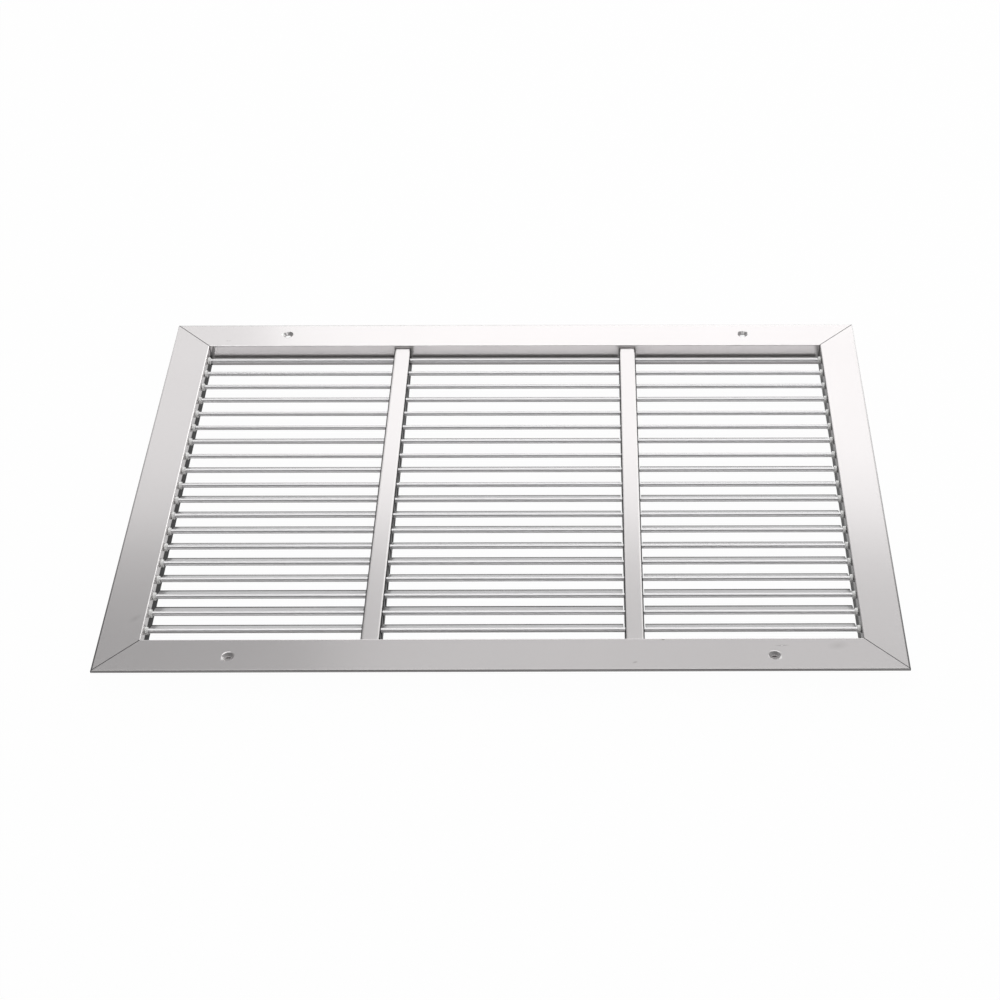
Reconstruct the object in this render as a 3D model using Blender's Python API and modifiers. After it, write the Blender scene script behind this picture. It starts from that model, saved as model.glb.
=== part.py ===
"""Return air grille: a mitred frame, two mullions and nineteen adjustable blades.

All sizes are in metres. The grille lies face up on the back rim of its neck:
X runs along the blades, +Y towards the top rail and +Z out of the face.
"""

import math

import bmesh
import bpy
from mathutils import Vector

# Frame
FRAME_LENGTH = 0.608
FRAME_HEIGHT = 0.434
FLANGE_WIDTH = 0.032
FLANGE_THICKNESS = 0.0016
FLANGE_CROWN = 0.0007
FLANGE_EDGE_RADIUS = 0.0008
LIP_HEIGHT = 0.0022
LIP_THICKNESS = 0.0014
NECK_DEPTH = 0.0215
NECK_WALL = 0.0015
MITRE_GAP = 0.0003

# Groove on the outside of the neck that holds the corner brackets
GROOVE_BOTTOM = 0.0045
GROOVE_HEIGHT = 0.0085
GROOVE_DEPTH = 0.0021
HOOK_THICKNESS = 0.0009
HOOK_LIP = 0.001

# Corner brackets
BRACKET_ARM = 0.026
BRACKET_THICKNESS = 0.0015
BRACKET_CORNER_RADIUS = 0.0012

# Mounting holes in the long rails
HOLE_END_DISTANCE = 0.100
HOLE_EDGE_DISTANCE = 0.0145
HOLE_DIAMETER = 0.0046
DIMPLE_DIAMETER = 0.0092
DIMPLE_DEPTH = 0.0022

# Blades
BLADE_PITCH = 0.0189
FIRST_BLADE_MARGIN = 0.0145
LAST_BLADE_MARGIN_LEAST = 0.008
PIVOT_DEPTH = 0.006
# Each blade is set by hand, so the rows rest a few degrees apart; degrees from the top row down
REST_TILTS = (33, 33, 32, 31, 35, 35, 31, 35, 31, 34, 28, 30, 29, 31, 28, 30, 27, 26, 29)
BEAD_DIAMETER = 0.0038
FIN_LENGTH = 0.0155
FIN_ROOT_THICKNESS = 0.0015
FIN_TIP_THICKNESS = 0.001
NOTCH_CLEARANCE = 0.001

# Nylon pivots in the blade ends
COLLAR_DIAMETER = 0.0056
COLLAR_THICKNESS = 0.0024
PIN_DIAMETER = 0.0028
PIN_PROJECTION = 0.0006
SPIGOT_DIAMETER = 0.0022
SPIGOT_LENGTH = 0.006

# Mullions
MULLION_OFFSET = 0.100
MULLION_WIDTH = 0.0148
MULLION_RECESS = 0.0024
MULLION_WEB = 0.0012
MULLION_SIDE = 0.0012
MULLION_EDGE_RADIUS = 0.0024
MULLION_END_RADIUS = 0.0015
MULLION_FOOT_GAP = 0.001
TAB_THICKNESS = 0.0014
TAB_BEND_RADIUS = 0.001
TAB_OVERLAP = 0.00024

# Rivets through the mullion tabs
RIVET_DIAMETER = 0.0032
RIVET_HEAD_DIAMETER = 0.0064
RIVET_HEAD_HEIGHT = 0.0012
RIVET_TAIL_DIAMETER = 0.0048
RIVET_TAIL_LENGTH = 0.0018

# Clearances
SEAT_GAP = 0.0003
CUT_MARGIN = 0.002
WELD_DISTANCE = 1e-6
TURN_MERGE_DISTANCE = 1e-5

# Facets
ARC_STEPS = 4
SEAT_STEPS = 6
BEAD_STEPS = 14
ROUND_STEPS = 16
HOLE_STEPS = 12

# Derived places
NECK_INNER_LENGTH = FRAME_LENGTH - 2 * FLANGE_WIDTH
NECK_INNER_HEIGHT = FRAME_HEIGHT - 2 * FLANGE_WIDTH
PIVOT_Z = NECK_DEPTH - PIVOT_DEPTH
FIRST_BLADE_Y = NECK_INNER_HEIGHT / 2 - FIRST_BLADE_MARGIN
BLADE_FIELD = NECK_INNER_HEIGHT - FIRST_BLADE_MARGIN - LAST_BLADE_MARGIN_LEAST
BLADE_COUNT = int(BLADE_FIELD / BLADE_PITCH) + 1
MULLION_TOP = NECK_DEPTH - MULLION_RECESS
RIVET_Z = GROOVE_BOTTOM + GROOVE_HEIGHT / 2
TAB_BOTTOM = RIVET_Z - RIVET_HEAD_DIAMETER / 2 - SEAT_GAP


def clear_scene():
    for item in list(bpy.data.objects):
        bpy.data.objects.remove(item, do_unlink=True)
    for group in list(bpy.data.collections):
        bpy.data.collections.remove(group)


def new_collection(name):
    group = bpy.data.collections.new(name)
    bpy.context.scene.collection.children.link(group)
    return group


def new_material(name, colour, roughness, metallic):
    material = bpy.data.materials.new(name)
    material.use_nodes = True
    shader = material.node_tree.nodes["Principled BSDF"]
    shader.inputs["Base Color"].default_value = (*colour, 1.0)
    shader.inputs["Roughness"].default_value = roughness
    shader.inputs["Metallic"].default_value = metallic
    return material


def arc(centre, radius, start, end, steps):
    """Points of an arc about centre, from the angle start to the angle end."""
    points = []
    for step in range(steps + 1):
        angle = start + (end - start) * step / steps
        points.append((centre[0] + radius * math.cos(angle), centre[1] + radius * math.sin(angle)))
    return points


def add_object(name, mesh, group):
    item = bpy.data.objects.new(name, mesh)
    group.objects.link(item)
    return item


def extruded_mesh(name, outline, length):
    """Mesh of a flat outline, drawn in Y and Z, extruded along X and centred on X = 0."""
    curve = bpy.data.curves.new(name, "CURVE")
    curve.dimensions = "2D"
    curve.fill_mode = "BOTH"
    curve.extrude = length / 2
    spline = curve.splines.new("POLY")
    spline.points.add(len(outline) - 1)
    for point, place in zip(spline.points, outline):
        point.co = (place[0], place[1], 0, 1)
    spline.use_cyclic_u = True
    carrier = bpy.data.objects.new(name, curve)
    bpy.context.scene.collection.objects.link(carrier)
    bpy.context.view_layer.update()
    evaluated = carrier.evaluated_get(bpy.context.evaluated_depsgraph_get())
    mesh = bpy.data.meshes.new_from_object(evaluated)
    bpy.data.objects.remove(carrier)
    bpy.data.curves.remove(curve)
    solid = bmesh.new()
    solid.from_mesh(mesh)
    bmesh.ops.remove_doubles(solid, verts=solid.verts, dist=WELD_DISTANCE)
    for vertex in solid.verts:
        vertex.co = Vector((vertex.co.z, vertex.co.x, vertex.co.y))
    bmesh.ops.recalc_face_normals(solid, faces=solid.faces)
    solid.to_mesh(mesh)
    solid.free()
    mesh.name = name
    return mesh


def cylinder(name, diameter, length, location, axis, group, end_diameter=None):
    """Round cutter or peg along X, Y or Z; end_diameter tapers its far end."""
    solid = bmesh.new()
    bmesh.ops.create_cone(
        solid,
        cap_ends=True,
        segments=HOLE_STEPS,
        radius1=diameter / 2,
        radius2=(diameter if end_diameter is None else end_diameter) / 2,
        depth=length,
    )
    mesh = bpy.data.meshes.new(name)
    solid.to_mesh(mesh)
    solid.free()
    item = add_object(name, mesh, group)
    item.location = location
    if axis == "X":
        item.rotation_euler = (0, math.radians(90), 0)
    if axis == "Y":
        item.rotation_euler = (math.radians(-90), 0, 0)
    return item


def turned_object(name, profile, steps, group):
    """Round solid: an outline of radius and height turned about Z, drawn from the top down."""
    mesh = bpy.data.meshes.new(name)
    edges = [(n, n + 1) for n in range(len(profile) - 1)]
    mesh.from_pydata([(radius, 0, height) for radius, height in profile], edges, [])
    item = add_object(name, mesh, group)
    screw = item.modifiers.new("turn", "SCREW")
    screw.steps = steps
    screw.render_steps = steps
    screw.use_merge_vertices = True
    screw.merge_threshold = TURN_MERGE_DISTANCE
    return item


def hide_cutter(item):
    item.hide_render = True
    item.display_type = "WIRE"


def combine(target, tool, operation):
    hide_cutter(tool)
    modifier = target.modifiers.new(tool.name, "BOOLEAN")
    modifier.operation = operation
    modifier.solver = "EXACT"
    modifier.object = tool


def repeat_for_blades(item, offset):
    """Repeats a cutter down the rows of blades, by an offset in the cutter's own axes."""
    array = item.modifiers.new("rows", "ARRAY")
    array.count = BLADE_COUNT
    array.use_relative_offset = False
    array.use_constant_offset = True
    array.constant_offset_displace = offset


def rail_outline():
    """Rail section: flange, outer lip, neck and the bracket groove; Y runs inwards from the outer edge."""
    neck_outer = FLANGE_WIDTH - NECK_WALL
    hook_outer = neck_outer - GROOVE_DEPTH
    hook_back = hook_outer - HOOK_THICKNESS
    groove_top = GROOVE_BOTTOM + GROOVE_HEIGHT
    face_outer = NECK_DEPTH - FLANGE_CROWN
    slope = FLANGE_CROWN / FLANGE_WIDTH
    radius = FLANGE_EDGE_RADIUS
    quarter = math.radians(90)
    points = [(0, face_outer - LIP_HEIGHT), (LIP_THICKNESS, face_outer - LIP_HEIGHT)]
    points.append((LIP_THICKNESS, face_outer - FLANGE_THICKNESS + slope * LIP_THICKNESS))
    points.append((neck_outer, face_outer - FLANGE_THICKNESS + slope * neck_outer))
    points.append((neck_outer, groove_top + HOOK_THICKNESS))
    points.append((hook_back, groove_top + HOOK_THICKNESS))
    points.append((hook_back, groove_top - HOOK_LIP))
    points.append((hook_outer, groove_top - HOOK_LIP))
    points.append((hook_outer, groove_top))
    points.append((neck_outer, groove_top))
    points.append((neck_outer, GROOVE_BOTTOM))
    points.append((hook_outer, GROOVE_BOTTOM))
    points.append((hook_outer, GROOVE_BOTTOM + HOOK_LIP))
    points.append((hook_back, GROOVE_BOTTOM + HOOK_LIP))
    points.append((hook_back, GROOVE_BOTTOM - HOOK_THICKNESS))
    points.append((neck_outer, GROOVE_BOTTOM - HOOK_THICKNESS))
    points.append((neck_outer, 0))
    points.append((FLANGE_WIDTH, 0))
    points += arc((FLANGE_WIDTH - radius, NECK_DEPTH - radius), radius, 0, quarter, ARC_STEPS)
    points += arc((radius, face_outer - radius), radius, quarter, 2 * quarter, ARC_STEPS)
    return points


def mitred_rail(name, length, location, turn, group):
    """One rail, its ends cut at 45 degrees to meet the next rail across a hairline gap."""
    mesh = extruded_mesh(name, rail_outline(), length)
    solid = bmesh.new()
    solid.from_mesh(mesh)
    setback = MITRE_GAP / 2 * math.sqrt(2)
    for end in (-1, 1):
        geometry = list(solid.verts) + list(solid.edges) + list(solid.faces)
        cut = bmesh.ops.bisect_plane(
            solid,
            geom=geometry,
            plane_co=(end * (length / 2 - setback), 0, 0),
            plane_no=Vector((end, 1, 0)).normalized(),
            clear_outer=True,
            dist=WELD_DISTANCE,
        )
        edges = [item for item in cut["geom_cut"] if isinstance(item, bmesh.types.BMEdge)]
        bmesh.ops.contextual_create(solid, geom=edges)
    bmesh.ops.recalc_face_normals(solid, faces=solid.faces)
    solid.to_mesh(mesh)
    solid.free()
    rail = add_object(name, mesh, group)
    rail.location = location
    rail.rotation_euler = (0, 0, turn)
    return rail


def make_rails(parts, cutters, metal):
    """Four mitred rails: pivot holes in the short necks, dimpled screw holes in the long flanges."""
    half_length = FRAME_LENGTH / 2
    half_height = FRAME_HEIGHT / 2
    quarter = math.radians(90)
    places = (
        ("rail_bottom", FRAME_LENGTH, (0, -half_height, 0), 0),
        ("rail_right", FRAME_HEIGHT, (half_length, 0, 0), quarter),
        ("rail_top", FRAME_LENGTH, (0, half_height, 0), 2 * quarter),
        ("rail_left", FRAME_HEIGHT, (-half_length, 0, 0), 3 * quarter),
    )
    rails = {}
    for name, length, location, turn in places:
        rails[name] = mitred_rail(name, length, location, turn, parts)
        rails[name].data.materials.append(metal)

    neck_middle = NECK_INNER_LENGTH / 2 + NECK_WALL / 2
    for side, rail in ((-1, rails["rail_left"]), (1, rails["rail_right"])):
        hole = cylinder(
            rail.name + "_pivot_holes",
            PIN_DIAMETER + 2 * SEAT_GAP,
            NECK_WALL + 2 * CUT_MARGIN,
            (side * neck_middle, FIRST_BLADE_Y, PIVOT_Z),
            "X",
            cutters,
        )
        repeat_for_blades(hole, (0, -BLADE_PITCH, 0))
        combine(rail, hole, "DIFFERENCE")

    face_z = NECK_DEPTH - FLANGE_CROWN + FLANGE_CROWN * HOLE_EDGE_DISTANCE / FLANGE_WIDTH
    spread = (DIMPLE_DIAMETER - HOLE_DIAMETER) / DIMPLE_DEPTH
    for end, rail in ((-1, rails["rail_bottom"]), (1, rails["rail_top"])):
        for side, word in ((-1, "left"), (1, "right")):
            x = side * (half_length - HOLE_END_DISTANCE)
            y = end * (half_height - HOLE_EDGE_DISTANCE)
            label = rail.name + "_" + word
            collar = cylinder(
                label + "_dimple",
                HOLE_DIAMETER + 2 * FLANGE_THICKNESS,
                DIMPLE_DEPTH,
                (x, y, face_z - FLANGE_THICKNESS / 2 - DIMPLE_DEPTH / 2),
                "Z",
                cutters,
                DIMPLE_DIAMETER + 2 * FLANGE_THICKNESS,
            )
            combine(rail, collar, "UNION")
            sink = cylinder(
                label + "_sink",
                HOLE_DIAMETER,
                2 * DIMPLE_DEPTH,
                (x, y, face_z),
                "Z",
                cutters,
                HOLE_DIAMETER + 2 * DIMPLE_DEPTH * spread,
            )
            combine(rail, sink, "DIFFERENCE")
            bore = cylinder(
                label + "_bore",
                HOLE_DIAMETER,
                4 * DIMPLE_DEPTH,
                (x, y, face_z - DIMPLE_DEPTH),
                "Z",
                cutters,
            )
            combine(rail, bore, "DIFFERENCE")

    neck_middle = NECK_INNER_HEIGHT / 2 + NECK_WALL / 2
    for end, rail in ((-1, rails["rail_bottom"]), (1, rails["rail_top"])):
        for side, word in ((-1, "left"), (1, "right")):
            hole = cylinder(
                rail.name + "_rivet_hole_" + word,
                RIVET_DIAMETER + 2 * SEAT_GAP,
                NECK_WALL + 2 * CUT_MARGIN,
                (side * MULLION_OFFSET, end * neck_middle, RIVET_Z),
                "Y",
                cutters,
            )
            combine(rail, hole, "DIFFERENCE")


def make_brackets(parts, metal):
    """Bent corner brackets that slide into the grooves and hold the mitres together."""
    corner_x = NECK_INNER_LENGTH / 2 + NECK_WALL + SEAT_GAP
    corner_y = NECK_INNER_HEIGHT / 2 + NECK_WALL + SEAT_GAP
    height = GROOVE_HEIGHT - 2 * SEAT_GAP
    radius = BRACKET_CORNER_RADIUS
    quarter = math.radians(90)
    outer = BRACKET_THICKNESS
    corners = ((-1, 1, "top_left"), (1, 1, "top_right"), (-1, -1, "bottom_left"), (1, -1, "bottom_right"))
    for side_x, side_y, word in corners:
        points = [(-BRACKET_ARM, 0), (0, 0), (0, -BRACKET_ARM), (outer, -BRACKET_ARM)]
        points += arc((outer - radius, outer - radius), radius, 0, quarter, ARC_STEPS)
        points.append((-BRACKET_ARM, outer))
        mesh = extruded_mesh("bracket_" + word, points, height)
        solid = bmesh.new()
        solid.from_mesh(mesh)
        for vertex in solid.verts:
            vertex.co = Vector((side_x * vertex.co.y, side_y * vertex.co.z, vertex.co.x))
        bmesh.ops.recalc_face_normals(solid, faces=solid.faces)
        solid.to_mesh(mesh)
        solid.free()
        bracket = add_object("bracket_" + word, mesh, parts)
        bracket.location = (side_x * corner_x, side_y * corner_y, GROOVE_BOTTOM + SEAT_GAP + height / 2)
        bracket.data.materials.append(metal)


def slot_outline():
    """Slot that drops over a blade's bead: straight sides and a round seat about the pivot axis."""
    radius = BEAD_DIAMETER / 2 + SEAT_GAP
    depth = PIVOT_Z - MULLION_FOOT_GAP + CUT_MARGIN
    points = [(-radius, -depth), (radius, -depth)]
    points += arc((0, 0), radius, 0, math.radians(180), SEAT_STEPS)
    return points


def make_mullions(parts, cutters, metal):
    """Two channels with a flat face, slotted over the beads and riveted to the long necks by end tabs."""
    half_width = MULLION_WIDTH / 2
    inner = half_width - MULLION_SIDE
    height = MULLION_TOP - MULLION_FOOT_GAP
    radius = MULLION_EDGE_RADIUS
    quarter = math.radians(90)
    length = NECK_INNER_HEIGHT - 2 * SEAT_GAP
    points = [(-half_width, 0), (-inner, 0), (-inner, height - MULLION_WEB), (inner, height - MULLION_WEB)]
    points += [(inner, 0), (half_width, 0)]
    points += arc((half_width - radius, height - radius), radius, 0, quarter, ARC_STEPS)
    points += arc((-half_width + radius, height - radius), radius, quarter, 2 * quarter, ARC_STEPS)
    tab_height = MULLION_TOP - MULLION_WEB - TAB_BOTTOM
    tab_width = 2 * inner + MULLION_SIDE
    for side, word in ((-1, "left"), (1, "right")):
        name = "mullion_" + word
        mullion = add_object(name, extruded_mesh(name, points, length), parts)
        mullion.location = (side * MULLION_OFFSET, 0, MULLION_FOOT_GAP)
        mullion.rotation_euler = (0, 0, quarter)
        mullion.data.materials.append(metal)
        slot_mesh = extruded_mesh(name + "_slots", slot_outline(), MULLION_WIDTH + 2 * CUT_MARGIN)
        slot = add_object(name + "_slots", slot_mesh, cutters)
        slot.location = (side * MULLION_OFFSET, FIRST_BLADE_Y, PIVOT_Z)
        repeat_for_blades(slot, (0, -BLADE_PITCH, 0))
        combine(mullion, slot, "DIFFERENCE")
        for end, place in ((-1, "bottom"), (1, "top")):
            label = name + "_tab_" + place
            tab = add_object(label, extruded_mesh(label, tab_outline(end, tab_height), tab_width), cutters)
            tab.location = (side * MULLION_OFFSET, end * length / 2, TAB_BOTTOM)
            combine(mullion, tab, "UNION")
            label = name + "_end_bend_" + place
            bend_mesh = extruded_mesh(label, end_bend_outline(end), MULLION_WIDTH + 2 * CUT_MARGIN)
            bend = add_object(label, bend_mesh, cutters)
            bend.location = (side * MULLION_OFFSET, end * length / 2, MULLION_TOP)
            combine(mullion, bend, "DIFFERENCE")
            hole = cylinder(
                name + "_rivet_hole_" + place,
                RIVET_DIAMETER + 2 * SEAT_GAP,
                TAB_THICKNESS + 2 * CUT_MARGIN,
                (side * MULLION_OFFSET, end * (length / 2 - TAB_THICKNESS / 2), RIVET_Z),
                "Y",
                cutters,
            )
            combine(mullion, hole, "DIFFERENCE")


def tab_outline(end, height):
    """Side view of an end tab: the web's strip turned down against the neck, with its bend."""
    inner = TAB_THICKNESS + TAB_BEND_RADIUS
    quarter = math.radians(90)
    top = height + TAB_OVERLAP
    bend = arc((inner, height - TAB_BEND_RADIUS), TAB_BEND_RADIUS, 2 * quarter, quarter, ARC_STEPS)
    points = [(TAB_THICKNESS, 0)] + bend + [(inner, top), (0, top), (0, 0)]
    return [(-end * along, up) for along, up in points]


def end_bend_outline(end):
    """What the bend takes off the face's end, so that the face rolls down into its tab."""
    radius = MULLION_END_RADIUS
    quarter = math.radians(90)
    points = arc((radius, -radius), radius, 2 * quarter, quarter, ARC_STEPS)
    points += [(radius, CUT_MARGIN), (-CUT_MARGIN, CUT_MARGIN), (-CUT_MARGIN, -radius)]
    return [(-end * along, up) for along, up in points]


def make_rivets(parts, metal):
    """Blind rivets from outside the neck: domed head, shank through both sheets and upset tail inside."""
    head = RIVET_HEAD_DIAMETER / 2
    shank = RIVET_DIAMETER / 2
    tail = RIVET_TAIL_DIAMETER / 2
    grip = SEAT_GAP + NECK_WALL + SEAT_GAP + TAB_THICKNESS + SEAT_GAP
    dome = arc((0, 0), 1, math.radians(90), 0, ARC_STEPS)
    profile = [(head * x, RIVET_HEAD_HEIGHT * z) for x, z in dome]
    tail_end = -grip - RIVET_TAIL_LENGTH
    profile += [(shank, 0), (shank, -grip), (tail, -grip), (tail, tail_end), (0, tail_end)]
    seat_y = NECK_INNER_HEIGHT / 2 + NECK_WALL + SEAT_GAP
    for end, place in ((-1, "bottom"), (1, "top")):
        for side, word in ((-1, "left"), (1, "right")):
            name = "rivet_" + place + "_" + word
            rivet = turned_object(name, profile, ROUND_STEPS, parts)
            rivet.location = (side * MULLION_OFFSET, end * seat_y, RIVET_Z)
            rivet.rotation_euler = (-end * math.radians(90), 0, 0)
            rivet.data.materials.append(metal)


def blade_outline():
    """Blade section: a round bead on the pivot axis and a thin fin that tapers to a round tip."""
    bead = BEAD_DIAMETER / 2
    root = FIN_ROOT_THICKNESS / 2
    tip = FIN_TIP_THICKNESS / 2
    opening = math.asin(root / bead)
    quarter = math.radians(90)
    points = arc((0, 0), bead, opening, 4 * quarter - opening, BEAD_STEPS)
    points += arc((FIN_LENGTH - tip, 0), tip, -quarter, quarter, ARC_STEPS)
    return points


def make_blades(parts, cutters, metal):
    """Blades in rows from the top, each turned about its bead; the fin is notched around the mullions."""
    pivot_end = NECK_INNER_LENGTH / 2 - SEAT_GAP
    blade_end = pivot_end - COLLAR_THICKNESS
    notch_length = MULLION_WIDTH + 2 * NOTCH_CLEARANCE
    notch_start = BEAD_DIAMETER / 2 * math.cos(math.asin(FIN_ROOT_THICKNESS / BEAD_DIAMETER))
    notch_depth = FIN_LENGTH - notch_start + CUT_MARGIN
    notch_size = (notch_length, notch_depth, BEAD_DIAMETER + CUT_MARGIN)
    section = blade_outline()
    for row in range(BLADE_COUNT):
        name = "blade_%02d" % (row + 1)
        blade = add_object(name, extruded_mesh(name, section, 2 * blade_end), parts)
        blade.location = (0, FIRST_BLADE_Y - row * BLADE_PITCH, PIVOT_Z)
        blade.rotation_euler = (-math.radians(REST_TILTS[row % len(REST_TILTS)]), 0, 0)
        blade.data.materials.append(metal)
        for side, word in ((-1, "left"), (1, "right")):
            notch = box(name + "_notch_" + word, notch_size, cutters)
            notch.location = (side * MULLION_OFFSET, notch_start + notch_depth / 2, 0)
            notch.parent = blade
            combine(blade, notch, "DIFFERENCE")
            pivot = pivot_plug(name + "_pivot_" + word, side, cutters)
            pivot.location = (side * blade_end, 0, 0)
            pivot.parent = blade
            combine(blade, pivot, "UNION")


def box(name, size, group):
    solid = bmesh.new()
    bmesh.ops.create_cube(solid, size=1)
    bmesh.ops.scale(solid, vec=size, verts=solid.verts)
    mesh = bpy.data.meshes.new(name)
    solid.to_mesh(mesh)
    solid.free()
    return add_object(name, mesh, group)


def pivot_plug(name, side, group):
    """Nylon pivot: a spigot in the bead, a collar against the neck and a pin through the neck's hole."""
    spigot = SPIGOT_DIAMETER / 2
    collar = COLLAR_DIAMETER / 2
    pin = PIN_DIAMETER / 2
    reach = COLLAR_THICKNESS + SEAT_GAP + NECK_WALL + PIN_PROJECTION
    profile = [(0, reach), (pin, reach), (pin, COLLAR_THICKNESS), (collar, COLLAR_THICKNESS), (collar, 0)]
    profile += [(spigot, 0), (spigot, -SPIGOT_LENGTH), (0, -SPIGOT_LENGTH)]
    plug = turned_object(name, profile, HOLE_STEPS, group)
    plug.rotation_euler = (0, side * math.radians(90), 0)
    return plug


def main():
    clear_scene()
    parts = new_collection("return_air_grille")
    cutters = new_collection("cutters")
    satin = new_material("satin_anodised_aluminium", (0.62, 0.615, 0.60), 0.32, 1.0)
    blade_metal = new_material("mill_aluminium", (0.66, 0.66, 0.64), 0.36, 1.0)
    steel = new_material("zinc_plated_steel", (0.55, 0.56, 0.57), 0.4, 1.0)
    make_rails(parts, cutters, satin)
    make_brackets(parts, steel)
    make_mullions(parts, cutters, satin)
    make_rivets(parts, blade_metal)
    make_blades(parts, cutters, blade_metal)


main()
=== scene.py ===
"""A return air grille lying face up on a pale studio floor.

Metres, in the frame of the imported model: +X along the blades, +Y towards the top rail
and +Z out of the face. The sections follow the order in which the grille is put together.
"""

import math

import bmesh
import bpy
from mathutils import Matrix, Vector


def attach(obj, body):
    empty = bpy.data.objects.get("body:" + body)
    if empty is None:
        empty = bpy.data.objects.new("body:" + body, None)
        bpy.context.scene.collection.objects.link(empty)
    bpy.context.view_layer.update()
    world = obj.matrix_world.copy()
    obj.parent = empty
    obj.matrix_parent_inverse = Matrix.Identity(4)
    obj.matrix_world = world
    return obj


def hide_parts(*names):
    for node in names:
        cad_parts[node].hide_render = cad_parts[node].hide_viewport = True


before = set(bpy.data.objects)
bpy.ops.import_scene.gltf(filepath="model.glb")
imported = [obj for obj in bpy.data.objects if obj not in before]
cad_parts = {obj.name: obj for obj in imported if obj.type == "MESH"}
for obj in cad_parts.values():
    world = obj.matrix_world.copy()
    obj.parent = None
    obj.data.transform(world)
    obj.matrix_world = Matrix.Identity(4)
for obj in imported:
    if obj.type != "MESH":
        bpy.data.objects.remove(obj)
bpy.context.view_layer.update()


# Rails: four lengths of extruded aluminium, mitred and satin anodised. Each has a crowned
# flange with a thin lip, and a neck that goes into the duct. The long ones have two
# pressed dimples for countersunk screws; hooks outside the neck hold the corner brackets.
MM = 0.001
FRAME_LENGTH = 608 * MM
FRAME_HEIGHT = 434 * MM
FLANGE_WIDTH = 32 * MM
FLANGE_THICKNESS = 1.6 * MM
FLANGE_CROWN = 0.7 * MM
OUTER_EDGE_RADIUS = 0.8 * MM
INNER_EDGE_RADIUS = 0.8 * MM
EDGE_STEPS = 8
ARRIS = 0.15 * MM
ARRIS_STEPS = 2
LIP_HEIGHT = 2.2 * MM
LIP_THICKNESS = 1.4 * MM
NECK_DEPTH = 21.5 * MM
NECK_WALL = 1.5 * MM
NECK_INSIDE_LENGTH = FRAME_LENGTH - 2 * FLANGE_WIDTH
NECK_INSIDE_HEIGHT = FRAME_HEIGHT - 2 * FLANGE_WIDTH
MITRE_GAP = 0.3 * MM
GROOVE_BOTTOM = 4.5 * MM
GROOVE_TOP = 13 * MM
GROOVE_DEPTH = 2.1 * MM
HOOK_THICKNESS = 0.9 * MM
HOOK_LIP = 1 * MM

HOLE_X = 204 * MM
HOLE_Y = 202.5 * MM
HOLE_RADIUS = 2.3 * MM
DIMPLE_RADIUS = 4.6 * MM
DIMPLE_DEPTH = 2.2 * MM
DIMPLE_SHOULDER = 1.6 * MM
SHOULDER_STEPS = 6
DIMPLE_STEPS = 48
SINK_ABOVE = 0.5 * MM
SINK_BELOW = 6 * MM
CONE_TURN, SINK_TURN = 0.03, 0.05  # radians, so that the two rounds' facets don't line up

MULLION_X = 100 * MM
RIVET_Z = 8.75 * MM
RIVET_HOLE_RADIUS = 1.9 * MM
PIVOT_Z = 15.5 * MM
FIRST_BLADE_Y = 170.5 * MM
BLADE_PITCH = 18.9 * MM
BLADE_COUNT = 19
PIVOT_HOLE_RADIUS = 1.7 * MM
WALL_CUT = 5 * MM
ROUND_STEPS = 32
SMOOTH_ANGLE = 35  # degrees


def arc(centre, radius, start, end, steps):
    """Points of an arc, from the angle start to the angle end in degrees."""
    points = []
    for step in range(steps + 1):
        angle = math.radians(start + (end - start) * step / steps)
        points.append((centre[0] + radius * math.cos(angle), centre[1] + radius * math.sin(angle)))
    return points


def put(name, mesh):
    """Puts a mesh, a lamp or the camera into the scene."""
    item = bpy.data.objects.new(name, mesh)
    bpy.context.scene.collection.objects.link(item)
    return item


def extrusion(name, outline, half_length):
    """Bar along X with a flat outline in Y and Z; half_length gives each point's reach in X."""
    count = len(outline)
    points = [(-half_length(y, z), y, z) for y, z in outline]
    points += [(half_length(y, z), y, z) for y, z in outline]
    faces = [(n, (n + 1) % count, count + (n + 1) % count, count + n) for n in range(count)]
    faces += [tuple(reversed(range(count))), tuple(range(count, 2 * count))]
    mesh = bpy.data.meshes.new(name)
    mesh.from_pydata(points, [], faces)
    return mesh


def turned(name, profile, steps):
    """Closed round solid about Z from (radius, height) pairs that start and end on the axis."""
    inner = profile[1:-1]
    points = [(0, 0, profile[0][1]), (0, 0, profile[-1][1])]
    for radius, height in inner:
        for step in range(steps):
            angle = 2 * math.pi * step / steps
            points.append((radius * math.cos(angle), radius * math.sin(angle), height))
    faces = []
    last = len(inner) - 1
    for step in range(steps):
        after = (step + 1) % steps
        faces.append((0, 2 + step, 2 + after))
        faces.append((1, 2 + last * steps + after, 2 + last * steps + step))
        for ring in range(last):
            low = 2 + ring * steps
            faces.append((low + step, low + steps + step, low + steps + after, low + after))
    mesh = bpy.data.meshes.new(name)
    mesh.from_pydata(points, [], faces)
    return mesh


def outward(mesh):
    """Turns every face of a closed mesh outwards."""
    solid = bmesh.new()
    solid.from_mesh(mesh)
    bmesh.ops.recalc_face_normals(solid, faces=solid.faces)
    solid.to_mesh(mesh)
    solid.free()


def applied(item):
    """Puts the item's modifiers into its mesh."""
    bpy.context.view_layer.update()
    seen = item.evaluated_get(bpy.context.evaluated_depsgraph_get())
    mesh = bpy.data.meshes.new_from_object(seen)
    item.modifiers.clear()
    old = item.data
    item.data = mesh
    bpy.data.meshes.remove(old)


def smoothed(item):
    """Rounds the shading over blunt edges and keeps the wide faces flat."""
    for face in item.data.polygons:
        face.use_smooth = True
    item.data.set_sharp_from_angle(angle=math.radians(SMOOTH_ANGLE))
    step = item.modifiers.new("flat faces", "WEIGHTED_NORMAL")
    step.keep_sharp = True
    step.weight = 100
    applied(item)
    return item


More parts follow.
